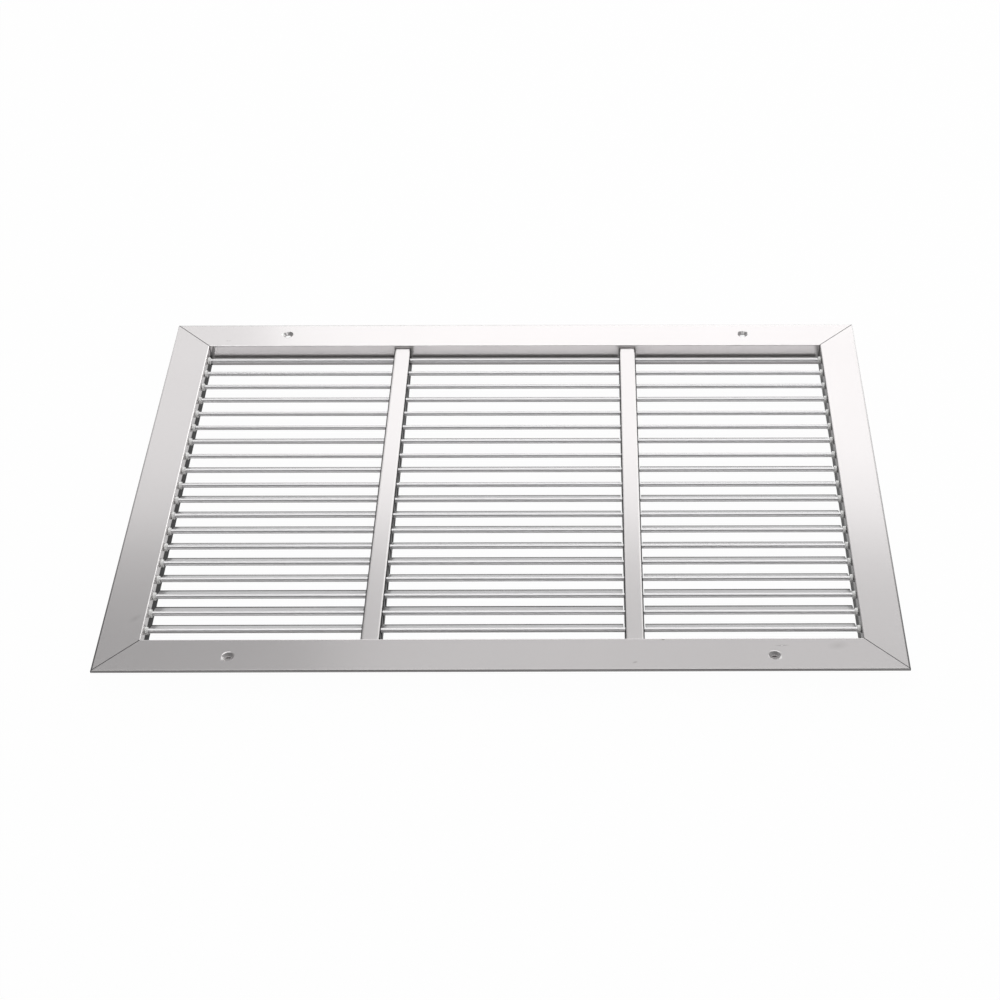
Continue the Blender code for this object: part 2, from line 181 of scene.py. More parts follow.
def joined(item, tools):
    """Applies cutters and added solids, given as (object, operation) pairs, then smooths."""
    for tool, operation in tools:
        outward(tool.data)
        step = item.modifiers.new(tool.name, "BOOLEAN")
        step.operation = operation
        step.solver = "EXACT"
        step.object = tool
    outward(item.data)
    applied(item)
    for tool, operation in tools:
        bpy.data.objects.remove(tool)
    return smoothed(item)


def round_cutter(name, radius, length, place, axis):
    """Drill for a hole along the axis X or Y, with its middle at a place."""
    profile = [(0, length / 2), (radius, length / 2), (radius, -length / 2), (0, -length / 2)]
    cutter = put(name, turned(name, profile, ROUND_STEPS))
    cutter.location = place
    cutter.rotation_euler = (math.radians(90), 0, 0) if axis == "Y" else (0, math.radians(90), 0)
    return cutter


def dimple_solids(name, x, y, surface):
    """The pressed cone under a screw hole, and the cutter for its smooth shoulder and hole."""
    wall = FLANGE_THICKNESS
    cone = [(0, 0), (DIMPLE_RADIUS + wall, 0)]
    cone += [(HOLE_RADIUS + wall, -DIMPLE_DEPTH), (0, -DIMPLE_DEPTH)]
    cone = put(name + "_cone", turned(name + "_cone", cone, DIMPLE_STEPS))
    cone.location = (x, y, surface - wall / 2)
    cone.rotation_euler = (0, 0, CONE_TURN)
    lean = math.degrees(math.atan2(DIMPLE_DEPTH, DIMPLE_RADIUS - HOLE_RADIUS))
    reach = DIMPLE_RADIUS + DIMPLE_SHOULDER * math.tan(math.radians(lean / 2))
    sink = [(0, SINK_ABOVE), (reach, SINK_ABOVE)]
    sink += arc((reach, -DIMPLE_SHOULDER), DIMPLE_SHOULDER, 90, 90 + lean, SHOULDER_STEPS)
    sink += [(HOLE_RADIUS, -DIMPLE_DEPTH), (HOLE_RADIUS, -SINK_BELOW), (0, -SINK_BELOW)]
    sink = put(name + "_sink", turned(name + "_sink", sink, DIMPLE_STEPS))
    sink.location = (x, y, surface)
    sink.rotation_euler = (0, 0, SINK_TURN)
    return [(cone, "UNION"), (sink, "DIFFERENCE")]


# The finish is satin anodised aluminium: extruded, etched and anodised, so it reflects
# softly, with slight cloudiness and faint lines from the die along each length. Real die
# lines are finer than a tenth of a millimetre and wouldn't show, so they are drawn coarser.
# On three rails the neck's inner wall has painted light, lighter than the flange down to the
# pivots; on the side rails and the bottom one painted shade makes it nearly black behind
# them. The outer lip is a thin line of painted shade, and the mitres are thin dark lines.
FRAME_METAL_COLOUR = "d9d6d6"
FRAME_METAL_DULL_COLOUR = "d2cfcf"
MARK_COLOUR = "4a4846"
# Lighter marks: a bare nick, and painted highlights at the screw holes.
BARE_AND_HIGHLIGHT_COLOUR = "f4f4f2"
CLOUD_SIZE = 111 * MM
DIE_LINE_LENGTH = 500 * MM
DIE_LINE_GAP = 1.11 * MM
RELIEF_HEIGHT = 0.2 * MM
LIP_SHADE_FADE = 0.3 * MM
LIP_SHADE_REACH = 200 * MM
MITRE_DARK_FROM = 0.75 * MM
MITRE_DARK_TO = 0.4 * MM
MITRE_SHARE = 0.4
MARK_DEPTH = 3 * MM
MARK_STRENGTH = 1.6
MARK_HAZE = 0.25
MIX_SHARE, MIX_FIRST, MIX_SECOND, MIX_RESULT = 0, 6, 7, 2  # sockets of a Mix node for colours


def linear(code):
    """sRGB hex colour as linear RGBA."""
    shares = [int(code[place:place + 2], 16) / 255 for place in (0, 2, 4)]
    shares = [c / 12.92 if c <= 0.04045 else ((c + 0.055) / 1.055) ** 2.4 for c in shares]
    return (*shares, 1.0)


def add(tree, kind, settings=None, links=None):
    """Adds a shader node with its settings and its links from other nodes' outputs."""
    node = tree.nodes.new(kind)
    for key, value in (settings or {}).items():
        if isinstance(key, str) and key.islower():
            setattr(node, key, value)
        else:
            node.inputs[key].default_value = value
    for key, source in (links or {}).items():
        tree.links.new(source, node.inputs[key])
    return node


def new_finish(name):
    """Empty material and its node tree."""
    material = bpy.data.materials.new(name)
    material.use_nodes = True
    material.node_tree.nodes.clear()
    return material, material.node_tree


def satin_with_painted_shade(name, light_from, dark_to, front_share, deep_share, lip=None, length=0, marks=()):
    """Satin anodised aluminium, with painted shade and light: deep_share of its lightness below
    the height dark_to in mm and front_share of it above light_from. A rail has this on the
    neck's inner wall alone. It also has a lip of painted shade, given by its width in mm and
    its lightness towards the ends at -X and +X. Each mark is a small ellipse: its middle, half
    length and half width in mm, its turn in degrees in the rail's own X and Y, and how much
    darker it is, or lighter below 0, as a painted highlight or a bare nick.
    """
    material, tree = new_finish(name)
    place = add(tree, "ShaderNodeTexCoord")
    clouds = add(tree, "ShaderNodeTexNoise", {"Scale": 1 / CLOUD_SIZE, "Detail": 2.0},
                 {"Vector": place.outputs["Object"]})
    tone = add(tree, "ShaderNodeMix", {
        "data_type": "RGBA", MIX_FIRST: linear(FRAME_METAL_COLOUR),
        MIX_SECOND: linear(FRAME_METAL_DULL_COLOUR)}, {MIX_SHARE: clouds.outputs["Fac"]})
    stretch = add(tree, "ShaderNodeMapping", {
        "Scale": (1 / DIE_LINE_LENGTH, 1 / DIE_LINE_GAP, 1 / DIE_LINE_GAP)},
        {"Vector": place.outputs["Object"]})
    lines = add(tree, "ShaderNodeTexNoise", {"Scale": 1.0, "Detail": 3.0},
                {"Vector": stretch.outputs[0]})
    gloss = add(tree, "ShaderNodeMapRange", {"To Min": 0.165, "To Max": 0.185},
                {"Value": lines.outputs["Fac"]})
    relief = add(tree, "ShaderNodeBump", {"Strength": 0.003, "Distance": RELIEF_HEIGHT},
                 {"Height": lines.outputs["Fac"]})
    apart = add(tree, "ShaderNodeSeparateXYZ", links={0: place.outputs["Object"]})
    # Painted light and shade by height in the neck: one share of lightness near the face, a darker
    # one deeper down.
    painted_shade_and_mitre = add(tree, "ShaderNodeMapRange", {
        "interpolation_type": "SMOOTHSTEP", "From Min": dark_to * MM, "From Max": light_from * MM,
        "To Min": deep_share, "To Max": front_share}, {"Value": apart.outputs["Z"]})
    # Painted shade along the outer lip, changing in strength along the rail, and dark joint lines at
    # the mitres.
    if lip:
        inside = add(tree, "ShaderNodeMath", {
            "operation": "GREATER_THAN", 1: FLANGE_WIDTH - INNER_EDGE_RADIUS},
            {0: apart.outputs["Y"]})
        change = add(tree, "ShaderNodeMath", {"operation": "SUBTRACT", 1: 1.0},
                     {0: painted_shade_and_mitre.outputs[0]})
        wall = add(tree, "ShaderNodeMath", {"operation": "MULTIPLY_ADD", 2: 1.0},
                   {0: change.outputs[0], 1: inside.outputs[0]})
        width, low_end, high_end = lip
        ends = add(tree, "ShaderNodeMapRange", {
            "From Min": -LIP_SHADE_REACH, "From Max": LIP_SHADE_REACH,
            "To Min": low_end, "To Max": high_end}, {"Value": apart.outputs["X"]})
        lip_shade_mask = add(tree, "ShaderNodeMapRange", {
            "From Min": width * MM - LIP_SHADE_FADE, "From Max": width * MM, "To Max": 1.0},
            {"Value": apart.outputs["Y"], "To Min": ends.outputs[0]})
        edged = add(tree, "ShaderNodeMath", {"operation": "MULTIPLY"},
                    {0: wall.outputs[0], 1: lip_shade_mask.outputs[0]})
        along = add(tree, "ShaderNodeMath", {"operation": "ABSOLUTE"}, {0: apart.outputs["X"]})
        reach = add(tree, "ShaderNodeMath", {"operation": "ADD"},
                    {0: along.outputs[0], 1: apart.outputs["Y"]})
        mitre = add(tree, "ShaderNodeMapRange", {
            "From Min": length / 2 - MITRE_DARK_FROM, "From Max": length / 2 - MITRE_DARK_TO,
            "To Min": 1.0, "To Max": MITRE_SHARE}, {"Value": reach.outputs[0]})
        painted_shade_and_mitre = add(tree, "ShaderNodeMath", {"operation": "MULTIPLY"},
                    {0: edged.outputs[0], 1: mitre.outputs[0]})
    shaded = add(tree, "ShaderNodeMix", {
        "data_type": "RGBA", "blend_type": "MULTIPLY", MIX_SHARE: 1.0},
        {MIX_FIRST: tone.outputs[MIX_RESULT], MIX_SECOND: painted_shade_and_mitre.outputs[0]})
    colour, rough = shaded.outputs[MIX_RESULT], gloss.outputs[0]
    for x, y, half_length, half_width, turn, weight in marks:
        spot = add(tree, "ShaderNodeMapping", {
            "vector_type": "TEXTURE", "Location": (x * MM, y * MM, NECK_DEPTH),
            "Rotation": (0, 0, math.radians(turn)),
            "Scale": (half_length * MM, half_width * MM, MARK_DEPTH)},
            {"Vector": place.outputs["Object"]})
        blot = add(tree, "ShaderNodeTexGradient", {"gradient_type": "SPHERICAL"},
                   {"Vector": spot.outputs[0]})
        share = add(tree, "ShaderNodeMath", {
            "operation": "MULTIPLY", "use_clamp": True, 1: MARK_STRENGTH * abs(weight)},
            {0: blot.outputs["Fac"]})
        stain = add(tree, "ShaderNodeMix", {
            "data_type": "RGBA", MIX_SECOND: linear(MARK_COLOUR if weight > 0 else BARE_AND_HIGHLIGHT_COLOUR)},
            {MIX_SHARE: share.outputs[0], MIX_FIRST: colour})
        haze = add(tree, "ShaderNodeMath", {"operation": "MULTIPLY_ADD", 1: MARK_HAZE},
                   {0: share.outputs[0], 2: rough})
        colour, rough = stain.outputs[MIX_RESULT], haze.outputs[0]
    # The painted light and shade also scale the reflection.
    tint = add(tree, "ShaderNodeMath", {"operation": "MINIMUM", 1: 1.0}, {0: painted_shade_and_mitre.outputs[0]})
    shader = add(tree, "ShaderNodeBsdfPrincipled", {"Metallic": 0.65}, {
        "Base Color": colour, "Specular Tint": tint.outputs[0], "Roughness": rough,
        "Normal": relief.outputs[0]})
    add(tree, "ShaderNodeOutputMaterial", links={"Surface": shader.outputs[0]})
    return material


satin_rails = {
    "rail_bottom": satin_with_painted_shade(
        "satin anodised aluminium, bottom rail",
        light_from=13, dark_to=11.5, front_share=1.35, deep_share=0.1,
        lip=(0.75, 0.5, 0.5), length=FRAME_LENGTH, marks=[
            (120.9, 30.4, 1.3, 0.9, 0, 0.9),  # dark spot at the inner edge
            (99.4, 7.4, 2.5, 1.2, 20, 0.3),  # faint spot near the outer edge
            (210.0, 24.2, 6.5, 0.8, 3, 0.3),  # fine scratch
            (252.0, 24.0, 9.0, 5.0, 10, 0.12),  # faint patch near the corner
            (-207.0, 12.4, 3.2, 2.4, 30, -0.6),  # painted highlight at the rim of the left screw hole
            (207.0, 12.4, 3.2, 2.4, -30, -0.6)]),  # painted highlight at the rim of the right screw hole
    "rail_left": satin_with_painted_shade(
        "satin anodised aluminium, left rail",
        light_from=13, dark_to=11.5, front_share=1.35, deep_share=0.1,
        lip=(1.5, 1.0, 0.3), length=FRAME_HEIGHT, marks=[
            (162.0, 24.5, 7.0, 3.5, -44, 0.14)]),  # smudge near the bottom corner
    "rail_top": satin_with_painted_shade(
        "satin anodised aluminium, top rail",
        light_from=20, dark_to=6, front_share=1.42, deep_share=0.85,
        lip=(1.2, 1.0, 0.6), length=FRAME_LENGTH, marks=[
            (256.0, 24.3, 3.4, 0.7, 0, 0.3),  # burr mark near the left corner
            (290.0, 15.2, 1.4, 0.8, 45, -0.9),  # bright nick in the left mitre
            (207.5, 14.0, 3.5, 2.5, 0, -0.9)]),  # painted highlight at the rim of the left screw hole
    "rail_right": satin_with_painted_shade(
        "satin anodised aluminium, right rail",
        light_from=13, dark_to=11.5, front_share=0.6, deep_share=0.08,
        lip=(1.5, 0.3, 1.0), length=FRAME_HEIGHT)}

# A rail's outline runs from the lip's foot under the flange, round both hooks and the
# neck, and back over the flange's crowned face.
neck_outside = FLANGE_WIDTH - NECK_WALL
hook_inside = neck_outside - GROOVE_DEPTH
hook_outside = hook_inside - HOOK_THICKNESS
face_outer = NECK_DEPTH - FLANGE_CROWN
slope = FLANGE_CROWN / FLANGE_WIDTH
under = face_outer - FLANGE_THICKNESS
lip_bottom = face_outer - LIP_HEIGHT
lip_inner = LIP_THICKNESS - ARRIS
rail_outline = arc((ARRIS, lip_bottom + ARRIS), ARRIS, 180, 270, ARRIS_STEPS)
rail_outline += arc((lip_inner, lip_bottom + ARRIS), ARRIS, 270, 360, ARRIS_STEPS)
rail_outline += [
    (LIP_THICKNESS, under + slope * LIP_THICKNESS), (neck_outside, under + slope * neck_outside),
    (neck_outside, GROOVE_TOP + HOOK_THICKNESS), (hook_outside, GROOVE_TOP + HOOK_THICKNESS),
    (hook_outside, GROOVE_TOP - HOOK_LIP), (hook_inside, GROOVE_TOP - HOOK_LIP),
    (hook_inside, GROOVE_TOP), (neck_outside, GROOVE_TOP),
    (neck_outside, GROOVE_BOTTOM), (hook_inside, GROOVE_BOTTOM),
    (hook_inside, GROOVE_BOTTOM + HOOK_LIP), (hook_outside, GROOVE_BOTTOM + HOOK_LIP),
    (hook_outside, GROOVE_BOTTOM - HOOK_THICKNESS), (neck_outside, GROOVE_BOTTOM - HOOK_THICKNESS)]
rail_outline += arc((neck_outside + ARRIS, ARRIS), ARRIS, 180, 270, ARRIS_STEPS)
rail_outline += arc((FLANGE_WIDTH - ARRIS, ARRIS), ARRIS, 270, 360, ARRIS_STEPS)
inner_top = (FLANGE_WIDTH - INNER_EDGE_RADIUS, NECK_DEPTH - INNER_EDGE_RADIUS)
rail_outline += arc(inner_top, INNER_EDGE_RADIUS, 0, 90, EDGE_STEPS)
outer_top = (OUTER_EDGE_RADIUS, face_outer - OUTER_EDGE_RADIUS)
rail_outline += arc(outer_top, OUTER_EDGE_RADIUS, 90, 180, EDGE_STEPS)

rails = {
    "rail_bottom": (FRAME_LENGTH, FRAME_HEIGHT, 0), "rail_right": (FRAME_HEIGHT, FRAME_LENGTH, 90),
    "rail_top": (FRAME_LENGTH, FRAME_HEIGHT, 180), "rail_left": (FRAME_HEIGHT, FRAME_LENGTH, 270)}
neck_middle = FLANGE_WIDTH - NECK_WALL / 2
mitre_cut = MITRE_GAP / 2 * math.sqrt(2)
for name, (length, across, turn) in rails.items():
    mesh = extrusion("satin_" + name, rail_outline, lambda y, z: length / 2 - y - mitre_cut)
    rail = put("satin_" + name, mesh)
    tools = []
    if length == FRAME_LENGTH:
        edge = across / 2 - HOLE_Y
        for x in (-HOLE_X, HOLE_X):
            tools += dimple_solids("%s_%d" % (name, x > 0), x, edge, face_outer + slope * edge)
        for x in (-MULLION_X, MULLION_X):
            place = (x, neck_middle, RIVET_Z)
            cutter = round_cutter("rivet_hole", RIVET_HOLE_RADIUS, WALL_CUT, place, "Y")
            tools.append((cutter, "DIFFERENCE"))
    else:
        side = 1 if name == "rail_right" else -1
        for row in range(BLADE_COUNT):
            place = (side * (FIRST_BLADE_Y - row * BLADE_PITCH), neck_middle, PIVOT_Z)
            cutter = round_cutter("pivot_hole", PIVOT_HOLE_RADIUS, WALL_CUT, place, "Y")
            tools.append((cutter, "DIFFERENCE"))
    rail = joined(rail, tools)
    rail.rotation_euler = (0, 0, math.radians(turn))
    spin = Matrix.Rotation(math.radians(turn), 3, "Z")
    rail.location = spin @ Vector((0, -across / 2, 0))
    rail.data.materials.clear()
    rail.data.materials.append(satin_rails[name])
    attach(rail, "frame")
    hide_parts(name)


# Mullions: two extruded channels across the blades, satin anodised like the rails. Their
# sides are slotted from the back over the blades' beads, and a strip of the web is turned
# down at both ends and riveted to the neck.
MULLION_WIDTH = 14.8 * MM
MULLION_TOP = 19.1 * MM
MULLION_FOOT = 1 * MM
MULLION_WEB = 1.2 * MM
MULLION_SIDE = 1.2 * MM
MULLION_EDGE_RADIUS = 2.4 * MM
MULLION_END_RADIUS = 1.5 * MM
MULLION_ARRIS = 0.2 * MM
SEAT_GAP = 0.3 * MM
BEAD_RADIUS = 1.9 * MM
SLOT_STEPS = 16
TAB_THICKNESS = 1.4 * MM
TAB_BOTTOM = 5.25 * MM
TAB_BEND_RADIUS = 1 * MM
TAB_BEND_STEPS = 6
TAB_OVERLAP = 0.24 * MM
TAB_CUT = 8 * MM
CUT_MARGIN = 1 * MM

# The same satin anodised aluminium, bright on the face, with painted shade making it nearly
# black down the sides between the blades.
satin_mullion = satin_with_painted_shade(
    "satin anodised aluminium, mullion",
    light_from=18.85, dark_to=17.9, front_share=1.0, deep_share=0.04)

mullion_half = MULLION_WIDTH / 2
mullion_inside = mullion_half - MULLION_SIDE
web_bottom = MULLION_TOP - MULLION_WEB
edge_x, edge_z = mullion_half - MULLION_EDGE_RADIUS, MULLION_TOP - MULLION_EDGE_RADIUS
foot_x, foot_z = mullion_half - MULLION_ARRIS, MULLION_FOOT + MULLION_ARRIS
mullion_outline = arc((foot_x, foot_z), MULLION_ARRIS, -90, 0, ARRIS_STEPS)
mullion_outline += arc((edge_x, edge_z), MULLION_EDGE_RADIUS, 0, 90, EDGE_STEPS)
mullion_outline += arc((-edge_x, edge_z), MULLION_EDGE_RADIUS, 90, 180, EDGE_STEPS)
mullion_outline += arc((-foot_x, foot_z), MULLION_ARRIS, 180, 270, ARRIS_STEPS)
mullion_outline += [(-mullion_inside, MULLION_FOOT), (-mullion_inside, web_bottom)]
mullion_outline += [(mullion_inside, web_bottom), (mullion_inside, MULLION_FOOT)]
mullion_reach = NECK_INSIDE_HEIGHT / 2 - SEAT_GAP

slot_radius = BEAD_RADIUS + SEAT_GAP
slot_outline = arc((0, PIVOT_Z), slot_radius, 0, 180, SLOT_STEPS)
slot_outline += [(-slot_radius, -CUT_MARGIN), (slot_radius, -CUT_MARGIN)]

bend_end = TAB_THICKNESS + TAB_BEND_RADIUS
bend_centre = (bend_end, web_bottom - TAB_BEND_RADIUS)
tab_top = web_bottom + TAB_OVERLAP
tab_reach = mullion_inside + MULLION_SIDE / 2
tab_outline = [(TAB_THICKNESS, TAB_BOTTOM)]
tab_outline += arc(bend_centre, TAB_BEND_RADIUS, 180, 90, TAB_BEND_STEPS)
tab_outline += [(bend_end, tab_top), (0, tab_top), (0, TAB_BOTTOM)]

roll_bottom, roll_top = MULLION_TOP - MULLION_END_RADIUS, MULLION_TOP + CUT_MARGIN
roll_centre = (MULLION_END_RADIUS, roll_bottom)
roll_outline = arc(roll_centre, MULLION_END_RADIUS, 180, 90, EDGE_STEPS)
roll_outline += [(MULLION_END_RADIUS, roll_top), (-CUT_MARGIN, roll_top), (-CUT_MARGIN, roll_bottom)]

for side, word in ((-1, "left"), (1, "right")):
    name = "satin_mullion_" + word
    mullion = put(name, extrusion(name, mullion_outline, lambda y, z: mullion_reach))
    tools = []
    for row in range(BLADE_COUNT):
        slot = put("slot", extrusion("slot", slot_outline, lambda y, z: MULLION_WIDTH))
        slot.rotation_euler = (0, 0, math.radians(90))
        slot.location = (FIRST_BLADE_Y - row * BLADE_PITCH, 0, 0)
        tools.append((slot, "DIFFERENCE"))
    for end in (-1, 1):
        tab = put("tab", extrusion("tab", tab_outline, lambda y, z: tab_reach))
        roll = put("roll", extrusion("roll", roll_outline, lambda y, z: MULLION_WIDTH))
        for shape in (tab, roll):
            shape.rotation_euler = (0, 0, math.radians(90 * end))
            shape.location = (end * mullion_reach, 0, 0)
        place = (end * (mullion_reach - TAB_THICKNESS / 2), 0, RIVET_Z)
        hole = round_cutter("hole", RIVET_HOLE_RADIUS, TAB_CUT, place, "X")
        tools += [(tab, "UNION"), (roll, "DIFFERENCE"), (hole, "DIFFERENCE")]
    mullion = joined(mullion, tools)
    mullion.rotation_euler = (0, 0, math.radians(90))
    mullion.location = (side * MULLION_X, 0, 0)
    mullion.data.materials.clear()
    mullion.data.materials.append(satin_mullion)
    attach(mullion, "frame")
    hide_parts("mullion_" + word)


# Blades: one extrusion each, a round bead with a thin fin, satin anodised. The fin is
# notched around the mullions, and a nylon pivot is pressed into the bead at both ends.
# Each blade stands where it was set by hand, at its rest tilt from the face in degrees.
FIN_LENGTH = 15.5 * MM
FIN_ROOT = 1.5 * MM
FIN_TIP = 1.0 * MM
FILLET_TURN = 14  # degrees
FILLET_REACH = 0.35 * MM
BEAD_STEPS = 36
NOTCH_GAP = 1 * MM
NOTCH_FROM = 0.93 * BEAD_RADIUS
NOTCH_TO = 20 * MM
NOTCH_HALF_HEIGHT = 3 * MM
REST_TILTS = (33, 33, 32, 31, 35, 35, 31, 35, 31, 34, 28, 30, 29, 31, 28, 30, 27, 26, 29)
COLLAR_RADIUS = 3.1 * MM
COLLAR_THICKNESS = 2.4 * MM
PIN_RADIUS = 1.4 * MM
PIN_END = 4.8 * MM
PIVOT_ARRIS = 0.3 * MM
PIVOT_ARRIS_STEPS = 3
SPIGOT_RADIUS = 1.1 * MM
SPIGOT_LENGTH = 5 * MM
BLADE_REACH = NECK_INSIDE_LENGTH / 2 - COLLAR_THICKNESS - SEAT_GAP

# Extruded and satin anodised aluminium, slightly glossier along its die lines than the
# rails, so that the round bead carries a bright line. Painted shade darkens the fin's tip,
# deep between the rows. Its die lines too are drawn coarser than real ones, so that they show.
BLADE_METAL_COLOUR = "e4e3e4"
BLADE_TIP_SHADE_COLOUR = "444342"
BLADE_LINE_LENGTH = 333 * MM
BLADE_LINE_GAP = 0.714 * MM
TIP_SHADE_FROM = 11.6 * MM
TIP_SHADE_TO = 13.8 * MM
TIP_SHADE_DIMMING = 0.85

blade_metal, tree = new_finish("satin anodised aluminium blade")
place = add(tree, "ShaderNodeTexCoord")
stretch = add(tree, "ShaderNodeMapping", {
    "Scale": (1 / BLADE_LINE_LENGTH, 1 / BLADE_LINE_GAP, 1 / BLADE_LINE_GAP)},
    {"Vector": place.outputs["Object"]})
lines = add(tree, "ShaderNodeTexNoise", {"Scale": 1.0, "Detail": 2.0},
            {"Vector": stretch.outputs[0]})
gloss = add(tree, "ShaderNodeMapRange", {"To Min": 0.15, "To Max": 0.22},
            {"Value": lines.outputs["Fac"]})
relief = add(tree, "ShaderNodeBump", {"Strength": 0.01, "Distance": RELIEF_HEIGHT},
             {"Height": lines.outputs["Fac"]})
apart = add(tree, "ShaderNodeSeparateXYZ", links={0: place.outputs["Object"]})
# Painted shade: the fin darkens towards its tip, in its colour and its reflection.
tip = add(tree, "ShaderNodeMapRange", {
    "interpolation_type": "SMOOTHSTEP", "From Min": TIP_SHADE_FROM, "From Max": TIP_SHADE_TO,
    "To Min": 0.0, "To Max": 1.0}, {"Value": apart.outputs["Y"]})
dim = add(tree, "ShaderNodeMath", {"operation": "MULTIPLY_ADD", 1: -TIP_SHADE_DIMMING, 2: 1.0},
          {0: tip.outputs[0]})
tone = add(tree, "ShaderNodeMix", {
    "data_type": "RGBA", MIX_FIRST: linear(BLADE_METAL_COLOUR),
    MIX_SECOND: linear(BLADE_TIP_SHADE_COLOUR)}, {MIX_SHARE: tip.outputs[0]})
shader = add(tree, "ShaderNodeBsdfPrincipled", {"Metallic": 0.5}, {
    "Base Color": tone.outputs[MIX_RESULT], "Specular Tint": dim.outputs[0],
    "Roughness": gloss.outputs[0], "Normal": relief.outputs[0]})
add(tree, "ShaderNodeOutputMaterial", links={"Surface": shader.outputs[0]})

# Moulded white nylon: soft, half matt and faintly translucent, with the grain of its mould.
NYLON_COLOUR = "fafaf8"
MOULD_GRAIN = 0.4 * MM

nylon, tree = new_finish("moulded white nylon")
place = add(tree, "ShaderNodeTexCoord")
grain = add(tree, "ShaderNodeTexNoise", {"Scale": 1 / MOULD_GRAIN, "Detail": 2.0},
            {"Vector": place.outputs["Object"]})
relief = add(tree, "ShaderNodeBump", {"Strength": 0.1, "Distance": 0.1 * MM},
             {"Height": grain.outputs["Fac"]})
shader = add(tree, "ShaderNodeBsdfPrincipled", {
    "Base Color": linear(NYLON_COLOUR), "Roughness": 0.42, "IOR": 1.53, "Subsurface Weight": 0.15,
    "Subsurface Scale": 1 * MM, "Subsurface Radius": (1.0, 1.0, 1.0)},
    {"Normal": relief.outputs[0]})
add(tree, "ShaderNodeOutputMaterial", links={"Surface": shader.outputs[0]})

opening = math.degrees(math.asin(FIN_ROOT / 2 / BEAD_RADIUS)) + FILLET_TURN
fin_start = BEAD_RADIUS + FILLET_REACH
blade_outline = arc((0, 0), BEAD_RADIUS, opening, 360 - opening, BEAD_STEPS)
blade_outline += [(fin_start, -FIN_ROOT / 2)]
blade_outline += arc((FIN_LENGTH - FIN_TIP / 2, 0), FIN_TIP / 2, -90, 90, EDGE_STEPS)
blade_outline += [(fin_start, FIN_ROOT / 2)]
notch_outline = [
    (NOTCH_FROM, -NOTCH_HALF_HEIGHT), (NOTCH_TO, -NOTCH_HALF_HEIGHT),
    (NOTCH_TO, NOTCH_HALF_HEIGHT), (NOTCH_FROM, NOTCH_HALF_HEIGHT)]
notch_reach = mullion_half + NOTCH_GAP
blade = put("blade", extrusion("satin_blade", blade_outline, lambda y, z: BLADE_REACH))
tools = []
for x in (-MULLION_X, MULLION_X):
    notch = put("notch", extrusion("notch", notch_outline, lambda y, z: notch_reach))
    notch.location = (x, 0, 0)
    tools.append((notch, "DIFFERENCE"))
blade_mesh = joined(blade, tools).data
bpy.data.objects.remove(blade)
blade_mesh.materials.clear()
blade_mesh.materials.append(blade_metal)

collar_edge, collar_top = COLLAR_RADIUS - PIVOT_ARRIS, COLLAR_THICKNESS - PIVOT_ARRIS
pivot_profile = [(0, PIN_END), (PIN_RADIUS - PIVOT_ARRIS, PIN_END)]
pivot_profile += [(PIN_RADIUS, PIN_END - PIVOT_ARRIS), (PIN_RADIUS, COLLAR_THICKNESS)]
pivot_profile += arc((collar_edge, collar_top), PIVOT_ARRIS, 90, 0, PIVOT_ARRIS_STEPS)
pivot_profile += arc((collar_edge, PIVOT_ARRIS), PIVOT_ARRIS, 0, -90, PIVOT_ARRIS_STEPS)
pivot_profile += [(SPIGOT_RADIUS, 0), (SPIGOT_RADIUS, -SPIGOT_LENGTH), (0, -SPIGOT_LENGTH)]
pivot = put("nylon_pivot", turned("nylon_pivot", pivot_profile, ROUND_STEPS))
outward(pivot.data)
pivot_mesh = smoothed(pivot).data
bpy.data.objects.remove(pivot)
pivot_mesh.materials.append(nylon)

for row in range(BLADE_COUNT):
    name = "blade_%02d" % (row + 1)
    blade = put("satin_" + name, blade_mesh)
    blade.location = (0, FIRST_BLADE_Y - row * BLADE_PITCH, PIVOT_Z)
    blade.rotation_euler = (math.radians(-REST_TILTS[row]), 0, 0)
    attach(blade, name)
    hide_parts(name)
    for side, word in ((-1, "left"), (1, "right")):
        pivot = put("nylon_pivot_%02d_%s" % (row + 1, word), pivot_mesh)
        pivot.rotation_euler = (0, math.radians(90 * side), 0)
        pivot.location = (side * BLADE_REACH, FIRST_BLADE_Y - row * BLADE_PITCH, PIVOT_Z)
        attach(pivot, name)


# Corner brackets and rivets: bent strips of zinc plated steel slide into the grooves
# behind the mitres and hold them together, and plain aluminium blind rivets go through
# the neck and the mullions' tabs.
STEEL_COLOUR = "b9bbbd"
SPANGLE_SIZE = 2.5 * MM
RIVET_COLOUR = "cfcfcf"
RIVET_DRAW_SIZE = 1.11 * MM

# Zinc plated steel: a cool grey metal with a patchy sheen.
steel, tree = new_finish("zinc plated steel")
place = add(tree, "ShaderNodeTexCoord")
spangle = add(tree, "ShaderNodeTexVoronoi", {"Scale": 1 / SPANGLE_SIZE},
              {"Vector": place.outputs["Object"]})
gloss = add(tree, "ShaderNodeMapRange", {"To Min": 0.28, "To Max": 0.45},
            {"Value": spangle.outputs["Distance"]})
shader = add(tree, "ShaderNodeBsdfPrincipled",
             {"Metallic": 1.0, "Base Color": linear(STEEL_COLOUR)},
             {"Roughness": gloss.outputs[0]})
add(tree, "ShaderNodeOutputMaterial", links={"Surface": shader.outputs[0]})

